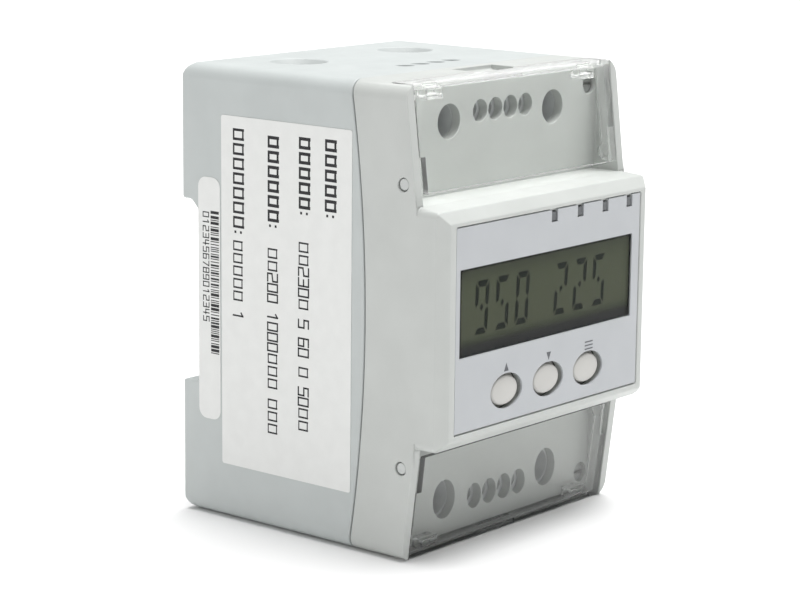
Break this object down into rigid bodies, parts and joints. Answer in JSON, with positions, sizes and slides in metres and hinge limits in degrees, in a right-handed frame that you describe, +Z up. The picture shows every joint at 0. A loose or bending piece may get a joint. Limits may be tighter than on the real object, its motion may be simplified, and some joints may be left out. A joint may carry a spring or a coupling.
{
  "type": "smart electric meter",
  "caption": "Single-phase electronic energy meter for a 35 mm rail, with a raised display bezel, push buttons and clear hinged terminal covers.",
  "frame": {"origin": "centre of the bounding box's bottom face, where the meter stands on its lower end", "axes": "+Z up the face of the meter, -Y out of the display, +X to the reader's right"},
  "size_m": [0.0649, 0.0654, 0.089],
  "materials": {
    "rear_shell": "fine spark-eroded grain, cool light grey",
    "front_shell": "fine grain, warm light grey",
    "clear_cover": "clear moulded polycarbonate",
    "faceplate": "satin silver-grey printed film",
    "window": "clear film window",
    "display": "olive reflective liquid crystal display",
    "button": "smooth warm white",
    "light_guide": "smoked light guide",
    "label": "white printed sticker",
    "black_plastic": "moulded black",
    "circuit_board": "green solder mask",
    "carrier": "grey insulating moulding",
    "latch": "dark grey acetal",
    "clamp_brass": "nickel-flashed brass",
    "screw_steel": "zinc-plated steel",
    "copper_bar": "bare copper",
    "capacitor_can": "drawn can"
  },
  "bodies": {
    "housing": {"rear_housing": "rear_shell", "front_cover": "front_shell", "display_overlay": "faceplate", "lcd_window": "window", "lcd_panel": "display", "lcd_holder": "black_plastic", "display_board": "circuit_board", "board_link": "black_plastic", "key_switch_up": "black_plastic", "key_switch_down": "black_plastic", "key_switch_set": "black_plastic", "pulse_light_1": "light_guide", "pulse_light_2": "light_guide", "pulse_light_3": "light_guide", "pulse_light_4": "light_guide", "upper_terminal_block": "carrier", "lower_terminal_block": "carrier", "line_shunt": "copper_bar", "neutral_bar": "copper_bar", "main_board": "circuit_board", "supply_capacitor": "black_plastic", "smoothing_capacitor": "capacitor_can", "metering_chip": "black_plastic", "case_screw_upper_left": "screw_steel", "case_screw_lower_left": "screw_steel", "case_screw_upper_right": "screw_steel", "case_screw_lower_right": "screw_steel", "latch_spring": "screw_steel", "rating_label": "label", "serial_label": "label"},
    "upper_cover": {"upper_terminal_cover": "clear_cover"},
    "lower_cover": {"lower_terminal_cover": "clear_cover"},
    "button_up": {"button_up": "button"},
    "button_down": {"button_down": "button"},
    "button_set": {"button_set": "button"},
    "latch": {"rail_latch": "latch"},
    "main_screw_upper_1": {"main_screw_upper_1": "screw_steel"},
    "main_clamp_upper_1": {"main_clamp_upper_1": "clamp_brass"},
    "main_screw_upper_2": {"main_screw_upper_2": "screw_steel"},
    "main_clamp_upper_2": {"main_clamp_upper_2": "clamp_brass"},
    "main_screw_lower_1": {"main_screw_lower_1": "screw_steel"},
    "main_clamp_lower_1": {"main_clamp_lower_1": "clamp_brass"},
    "main_screw_lower_2": {"main_screw_lower_2": "screw_steel"},
    "main_clamp_lower_2": {"main_clamp_lower_2": "clamp_brass"},
    "signal_screw_upper_1": {"signal_screw_upper_1": "screw_steel"},
    "signal_clamp_upper_1": {"signal_clamp_upper_1": "clamp_brass"},
    "signal_screw_upper_2": {"signal_screw_upper_2": "screw_steel"},
    "signal_clamp_upper_2": {"signal_clamp_upper_2": "clamp_brass"},
    "signal_screw_upper_3": {"signal_screw_upper_3": "screw_steel"},
    "signal_clamp_upper_3": {"signal_clamp_upper_3": "clamp_brass"},
    "signal_screw_upper_4": {"signal_screw_upper_4": "screw_steel"},
    "signal_clamp_upper_4": {"signal_clamp_upper_4": "clamp_brass"},
    "signal_screw_lower_1": {"signal_screw_lower_1": "screw_steel"},
    "signal_clamp_lower_1": {"signal_clamp_lower_1": "clamp_brass"},
    "signal_screw_lower_2": {"signal_screw_lower_2": "screw_steel"},
    "signal_clamp_lower_2": {"signal_clamp_lower_2": "clamp_brass"},
    "signal_screw_lower_3": {"signal_screw_lower_3": "screw_steel"},
    "signal_clamp_lower_3": {"signal_clamp_lower_3": "clamp_brass"},
    "signal_screw_lower_4": {"signal_screw_lower_4": "screw_steel"},
    "signal_clamp_lower_4": {"signal_clamp_lower_4": "clamp_brass"}
  },
  "joints": [
    {"name": "upper_cover_hinge", "type": "hinge", "parent": "housing", "child": "upper_cover", "pos_m": [0, -0.02295, 0.07095], "axis": [1, 0, 0], "range_deg": [0, 100]},
    {"name": "lower_cover_hinge", "type": "hinge", "parent": "housing", "child": "lower_cover", "pos_m": [0, -0.02295, 0.01805], "axis": [-1, 0, 0], "range_deg": [0, 100]},
    {"name": "button_up_press", "type": "slide", "parent": "housing", "child": "button_up", "axis": [0, 1, 0], "range_m": [0, 0.0008], "stiffness_N_per_m": 600, "springref_m": -0.0004},
    {"name": "button_down_press", "type": "slide", "parent": "housing", "child": "button_down", "axis": [0, 1, 0], "range_m": [0, 0.0008], "stiffness_N_per_m": 600, "springref_m": -0.0004},
    {"name": "button_set_press", "type": "slide", "parent": "housing", "child": "button_set", "axis": [0, 1, 0], "range_m": [0, 0.0008], "stiffness_N_per_m": 600, "springref_m": -0.0004},
    {"name": "latch_slide", "type": "slide", "parent": "housing", "child": "latch", "axis": [0, 0, -1], "range_m": [0, 0.004], "stiffness_N_per_m": 900, "springref_m": -0.002, "deforming": ["latch_spring"]},
    {"name": "main_screw_upper_1_turn", "type": "hinge", "parent": "housing", "child": "main_screw_upper_1", "pos_m": [-0.016, 0, 0.0806], "axis": [0, 1, 0], "range_deg": [0, 2480]},
    {"name": "main_clamp_upper_1_rise", "type": "slide", "parent": "housing", "child": "main_clamp_upper_1", "axis": [0, -1, 0], "range_m": [0, 0.0055]},
    {"name": "main_screw_upper_2_turn", "type": "hinge", "parent": "housing", "child": "main_screw_upper_2", "pos_m": [0.016, 0, 0.0806], "axis": [0, 1, 0], "range_deg": [0, 2480]},
    {"name": "main_clamp_upper_2_rise", "type": "slide", "parent": "housing", "child": "main_clamp_upper_2", "axis": [0, -1, 0], "range_m": [0, 0.0055]},
    {"name": "main_screw_lower_1_turn", "type": "hinge", "parent": "housing", "child": "main_screw_lower_1", "pos_m": [-0.016, 0, 0.0084], "axis": [0, 1, 0], "range_deg": [0, 2480]},
    {"name": "main_clamp_lower_1_rise", "type": "slide", "parent": "housing", "child": "main_clamp_lower_1", "axis": [0, -1, 0], "range_m": [0, 0.0055]},
    {"name": "main_screw_lower_2_turn", "type": "hinge", "parent": "housing", "child": "main_screw_lower_2", "pos_m": [0.016, 0, 0.0084], "axis": [0, 1, 0], "range_deg": [0, 2480]},
    {"name": "main_clamp_lower_2_rise", "type": "slide", "parent": "housing", "child": "main_clamp_lower_2", "axis": [0, -1, 0], "range_m": [0, 0.0055]},
    {"name": "signal_screw_upper_1_turn", "type": "hinge", "parent": "housing", "child": "signal_screw_upper_1", "pos_m": [-0.0067, 0, 0.0818], "axis": [0, 1, 0], "range_deg": [0, 2405]},
    {"name": "signal_clamp_upper_1_rise", "type": "slide", "parent": "housing", "child": "signal_clamp_upper_1", "axis": [0, -1, 0], "range_m": [0, 0.003]},
    {"name": "signal_screw_upper_2_turn", "type": "hinge", "parent": "housing", "child": "signal_screw_upper_2", "pos_m": [-0.00205, 0, 0.0818], "axis": [0, 1, 0], "range_deg": [0, 2405]},
    {"name": "signal_clamp_upper_2_rise", "type": "slide", "parent": "housing", "child": "signal_clamp_upper_2", "axis": [0, -1, 0], "range_m": [0, 0.003]},
    {"name": "signal_screw_upper_3_turn", "type": "hinge", "parent": "housing", "child": "signal_screw_upper_3", "pos_m": [0.0026, 0, 0.0818], "axis": [0, 1, 0], "range_deg": [0, 2405]},
    {"name": "signal_clamp_upper_3_rise", "type": "slide", "parent": "housing", "child": "signal_clamp_upper_3", "axis": [0, -1, 0], "range_m": [0, 0.003]},
    {"name": "signal_screw_upper_4_turn", "type": "hinge", "parent": "housing", "child": "signal_screw_upper_4", "pos_m": [0.00725, 0, 0.0818], "axis": [0, 1, 0], "range_deg": [0, 2405]},
    {"name": "signal_clamp_upper_4_rise", "type": "slide", "parent": "housing", "child": "signal_clamp_upper_4", "axis": [0, -1, 0], "range_m": [0, 0.003]},
    {"name": "signal_screw_lower_1_turn", "type": "hinge", "parent": "housing", "child": "signal_screw_lower_1", "pos_m": [-0.0067, 0, 0.0072], "axis": [0, 1, 0], "range_deg": [0, 2405]},
    {"name": "signal_clamp_lower_1_rise", "type": "slide", "parent": "housing", "child": "signal_clamp_lower_1", "axis": [0, -1, 0], "range_m": [0, 0.003]},
    {"name": "signal_screw_lower_2_turn", "type": "hinge", "parent": "housing", "child": "signal_screw_lower_2", "pos_m": [-0.00205, 0, 0.0072], "axis": [0, 1, 0], "range_deg": [0, 2405]},
    {"name": "signal_clamp_lower_2_rise", "type": "slide", "parent": "housing", "child": "signal_clamp_lower_2", "axis": [0, -1, 0], "range_m": [0, 0.003]},
    {"name": "signal_screw_lower_3_turn", "type": "hinge", "parent": "housing", "child": "signal_screw_lower_3", "pos_m": [0.0026, 0, 0.0072], "axis": [0, 1, 0], "range_deg": [0, 2405]},
    {"name": "signal_clamp_lower_3_rise", "type": "slide", "parent": "housing", "child": "signal_clamp_lower_3", "axis": [0, -1, 0], "range_m": [0, 0.003]},
    {"name": "signal_screw_lower_4_turn", "type": "hinge", "parent": "housing", "child": "signal_screw_lower_4", "pos_m": [0.00725, 0, 0.0072], "axis": [0, 1, 0], "range_deg": [0, 2405]},
    {"name": "signal_clamp_lower_4_rise", "type": "slide", "parent": "housing", "child": "signal_clamp_lower_4", "axis": [0, -1, 0], "range_m": [0, 0.003]}
  ],
  "couplings": [
    {"joint": "main_screw_upper_1_turn", "follows": "main_clamp_upper_1_rise", "rad_per_m": 7854},
    {"joint": "main_screw_upper_2_turn", "follows": "main_clamp_upper_2_rise", "rad_per_m": 7854},
    {"joint": "main_screw_lower_1_turn", "follows": "main_clamp_lower_1_rise", "rad_per_m": 7854},
    {"joint": "main_screw_lower_2_turn", "follows": "main_clamp_lower_2_rise", "rad_per_m": 7854},
    {"joint": "signal_screw_upper_1_turn", "follows": "signal_clamp_upper_1_rise", "rad_per_m": 13963},
    {"joint": "signal_screw_upper_2_turn", "follows": "signal_clamp_upper_2_rise", "rad_per_m": 13963},
    {"joint": "signal_screw_upper_3_turn", "follows": "signal_clamp_upper_3_rise", "rad_per_m": 13963},
    {"joint": "signal_screw_upper_4_turn", "follows": "signal_clamp_upper_4_rise", "rad_per_m": 13963},
    {"joint": "signal_screw_lower_1_turn", "follows": "signal_clamp_lower_1_rise", "rad_per_m": 13963},
    {"joint": "signal_screw_lower_2_turn", "follows": "signal_clamp_lower_2_rise", "rad_per_m": 13963},
    {"joint": "signal_screw_lower_3_turn", "follows": "signal_clamp_lower_3_rise", "rad_per_m": 13963},
    {"joint": "signal_screw_lower_4_turn", "follows": "signal_clamp_lower_4_rise", "rad_per_m": 13963}
  ]
}
